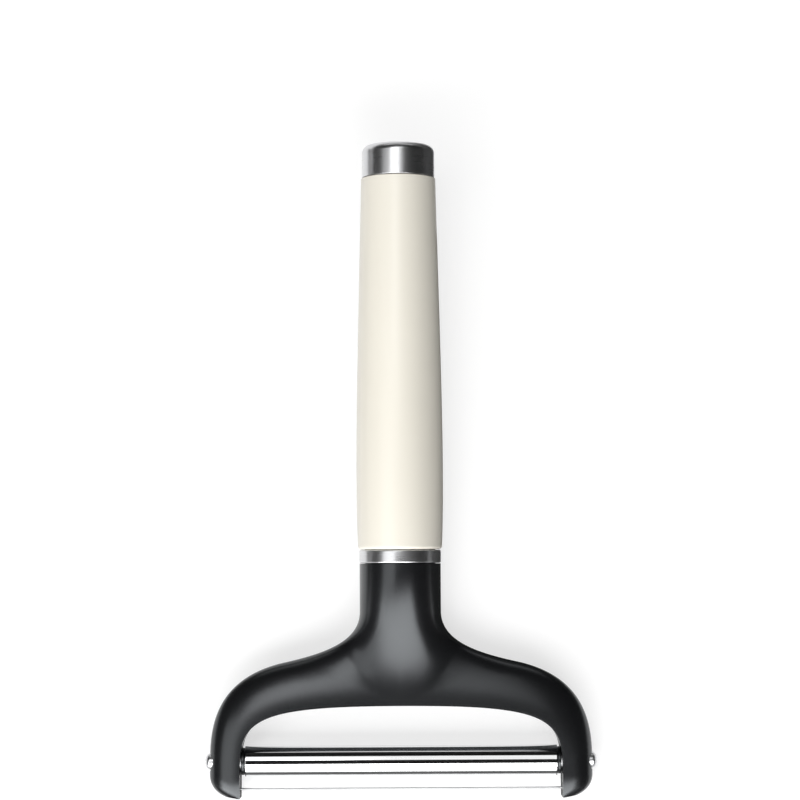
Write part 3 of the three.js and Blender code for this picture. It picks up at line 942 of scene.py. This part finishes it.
# %% Washers
WASHER_RADIUS = 2.5
WASHER_SEAT = 51.0
WASHER_TOP = 51.4
WASHER_EDGE = 0.12

for name, side in SIDES.items():
    washer = turned_across(closed([
        (SCREW_BORE, WASHER_SEAT), (WASHER_RADIUS, WASHER_SEAT),
        (WASHER_RADIUS, WASHER_TOP), (SCREW_BORE, WASHER_TOP),
    ]), side, steps=72)
    round_ring(washer, WASHER_RADIUS, side * WASHER_TOP, WASHER_EDGE, ROLLER_AXIS)
    across_piece(f"wire_washer_{name}", "slicer", satin_across, washer)

# %% Cutting wire
right_half = [*hook_points(), *bend_points()]
left_half = [other_side(point) for point in reversed(right_half)]
wire = tube(right_half + left_half, WIRE_RADIUS)
finished("cutting_wire", "slicer", drawn, mesh_of(wire, "wire"))

# %% Axle
axle = frame["nodes"]["roller_axle"]
axle.data.materials.clear()
axle.data.materials.append(satin_across)
print("the axle keeps its packed shape, with a steel finish")

# %% [markdown]
# ## Studio
# The floor is pale and plain. A brighter lamp could make it white, but it would also bleach the grip.
# So to the camera, and in mirrors, the floor glows just enough to be white, and it still takes the
# slicer's soft shadow. The sky is dimmer for the light that falls on the slicer than for the camera.

# %% Floor and sky
FLOOR_SIZE = 6.0
FLOOR_GREY = (0.42, 0.42, 0.42, 1)
FLOOR_GLOW = 0.64
AMBIENT = 0.32
MATT = 0.9


def floor_finish():
    finish = Finish("studio_floor", Base_Color=FLOOR_GREY, Roughness=MATT)
    lit = Signal(finish, finish.shader.outputs["BSDF"])
    glow = finish.node("ShaderNodeEmission", {}, {"Strength": FLOOR_GLOW})
    white = finish.node("ShaderNodeAddShader", {}, {0: lit, 1: glow})
    shown = finish.node("ShaderNodeMixShader", {}, {0: finish.seen(), 1: lit, 2: white})
    finish.feed(finish.tree.nodes["Material Output"].inputs["Surface"], shown)
    return finish.material


def flat_mesh(name, width, height, finish):
    bm = bmesh.new()
    bmesh.ops.create_grid(bm, x_segments=1, y_segments=1, size=0.5)
    bmesh.ops.scale(bm, vec=(width, height, 1), verts=bm.verts)
    mesh = mesh_of(bm, name)
    mesh.materials.append(finish)
    return mesh


floor = in_scene("floor", flat_mesh("floor", 2 * FLOOR_SIZE, 2 * FLOOR_SIZE, floor_finish()))
floor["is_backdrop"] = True

world = bpy.data.worlds.new("studio")
world.use_nodes = True
bpy.context.scene.world = world
sky = Nodes(world.node_tree)
backdrop = sky.tree.nodes["Background"]
seen = sky.seen()
sky.feed(backdrop.inputs["Color"], (1, 1, 1, 1))
sky.feed(backdrop.inputs["Strength"], seen + (1 - seen) * AMBIENT)
print(f"floor {2 * FLOOR_SIZE:.0f} m wide, sky at {AMBIENT} for the light on the slicer")

# %% [markdown]
# ## Lights
# Steel and black plastic show what stands round them, so the lights are large softboxes, placed by
# what each piece mirrors. The key at the left and the front box below model the bow and the grip, two
# boxes above give the cap and the neck their bright middle, and a low one and one at the back draw the
# bands on the roller. The camera sees none of them.

# %% Softboxes
def studio_direction(right, up):
    """A direction from the slicer, by its angles to the right and up from the tool's front, in degrees."""
    way = across * math.tan(math.radians(right)) + along * math.tan(math.radians(up)) + outward
    return way.normalized()


def facing(obj, spot, target, top, roll=0.0):
    """Puts an object at a spot, with its front to the target and its upper edge towards the top."""
    away = (spot - target).normalized()
    sideways = top.cross(away).normalized()
    axes = Matrix((sideways, away.cross(sideways), away)).transposed()
    obj.location = spot
    obj.rotation_euler = (axes @ Matrix.Rotation(roll, 3, "Z")).to_euler()


def softbox(name, right, up, distance, width, height, radiance, top=along):
    lamp = bpy.data.lights.new(name, "AREA")
    lamp.shape = "RECTANGLE"
    lamp.size, lamp.size_y = width, height
    lamp.energy = radiance * math.pi * width * height
    holder = in_scene(name, lamp)
    holder.visible_camera = False
    facing(holder, shoulder + studio_direction(right, up) * distance, shoulder, top)
    print(f"softbox {name}: {width} by {height} m, {lamp.energy:.1f} W")


softbox("key", right=-32, up=-3, distance=1.3, width=0.8, height=0.62, radiance=1.6)
softbox("top", right=-12, up=17, distance=1.4, width=0.5, height=0.42, radiance=3.2)
softbox("fill", right=1, up=22, distance=1.4, width=0.55, height=0.75, radiance=1.1)
softbox("front", right=-11, up=-38.5, distance=1.3, width=2.2, height=0.75, radiance=5.0)
softbox("low", right=-45, up=-70, distance=1.3, width=1.6, height=0.45, radiance=3.6, top=outward)
softbox("back", right=0, up=80, distance=1.4, width=1.6, height=0.4, radiance=0.8, top=outward)

# %% [markdown]
# ## Dark cards
# In an all-white room, steel loses its edges. Photographers give them back with black cards outside
# the picture, and this studio has felt walls and a ceiling round the lights. Beside the slicer, cards
# that only mirrors see paint dark reflections of the shade there, and no shadow falls from them.

# %% Walls and ceiling
FELT_AND_PAINTED_REFLECTION = (0.04, 0.04, 0.04, 1)
UPWARDS = Vector((0, 0, 1))
BACKWARDS = Vector((0, 1, 0))
ROOM = 2.2
KERB = 0.5

# The same black also colours the cards on the floor, which paint dark reflections.
felt_and_painted_reflection = Finish("black_felt_and_painted_reflection", Base_Color=FELT_AND_PAINTED_REFLECTION, Roughness=MATT).material


def dark_card(name, spot, target, top, width, height):
    """A black card that faces the target, felt on the walls and a painted reflection on the floor. The camera
    looks through it, mirrors see it.
    """
    card = in_scene(name, flat_mesh(name, width, height, felt_and_painted_reflection))
    card.visible_camera = False
    facing(card, Vector(spot), Vector(target), top)
    card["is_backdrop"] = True
    return card


dark_card("ceiling", (0, 0, ROOM), (0, 0, 0), BACKWARDS, 2 * ROOM, 2 * ROOM)
for name, x, y in (("left_wall", -ROOM, 0), ("right_wall", ROOM, 0), ("back_wall", 0, ROOM)):
    dark_card(name, (x, y, ROOM / 2), (0, 0, ROOM / 2), UPWARDS, 2 * ROOM, ROOM)
dark_card("front_kerb", (0, -ROOM, KERB / 2), (0, 0, KERB / 2), UPWARDS, 2 * ROOM, KERB)
print(f"felt room: {2 * ROOM} m wide, open above the kerb at the front")

# %% Painted reflections on the floor
CARD_LIFT = 0.0005


def painted_reflection_card(name, left, right, front, back):
    """A dark card on the floor, which only mirrors see: a painted dark reflection, from which no shadow falls."""
    middle = Vector(((left + right) / 2, (front + back) / 2, CARD_LIFT))
    card = dark_card(name, middle, middle + UPWARDS, BACKWARDS, right - left, back - front)
    card.visible_shadow = False
    card.visible_diffuse = False


# These cards paint dark reflections of the shade beside the slicer into the steel and the black plastic.
painted_reflection_card("roller_card", left=-0.3, right=0.3, front=-0.3, back=-0.095)
painted_reflection_card("left_card", left=-0.35, right=-0.06, front=-0.05, back=0.07)
painted_reflection_card("left_cap_card", left=-0.35, right=-0.09, front=0.07, back=0.14)
painted_reflection_card("right_card", left=0.014, right=0.35, front=-0.05, back=0.07)
painted_reflection_card("right_cap_card", left=0.022, right=ROOM, front=0.07, back=0.5)
painted_reflection_card("left_arm_card", left=-0.05, right=-0.0431, front=-0.095, back=-0.06)
painted_reflection_card("right_arm_card", left=0.0431, right=0.05, front=-0.095, back=-0.06)
print("floor cards: beside the cap, the neck, the arms and the roller")

# %% [markdown]
# ## Camera
# The photograph looks almost straight down the tool's front, from a little below, through a long lens.
# The camera is placed in the tool's own frame, so its lean and its roll are small numbers.

# %% Camera
LENS = 111.4
SENSOR = 36.0
LOOK_AT = 41.3  # millimetres above the shoulder
CAMERA_SIDE = 0.2
CAMERA_DISTANCE = 0.686
CAMERA_LEAN = -0.061
CAMERA_ROLL = math.radians(-0.3)

camera_data = bpy.data.cameras.new("camera")
camera_data.lens = LENS
camera_data.sensor_width = SENSOR
camera = in_scene("camera", camera_data)
bpy.context.scene.camera = camera
look_at = shoulder + along * LOOK_AT * MM + across * CAMERA_SIDE * MM
to_camera = (along * CAMERA_LEAN + outward).normalized()
facing(camera, look_at + to_camera * CAMERA_DISTANCE, look_at, along, CAMERA_ROLL)
bpy.context.scene.view_settings.view_transform = "Standard"
print(f"camera {CAMERA_DISTANCE} m away, {LENS} mm lens")

# %% [markdown]
# ## Size
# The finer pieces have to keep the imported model's size, so both boxes are written down.

# %% Measure and finish
low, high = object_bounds()
for label, size in (("packed", cad_high - cad_low), ("visual", high - low)):
    print(f"{label} size:", [round(v / MM, 1) for v in size])
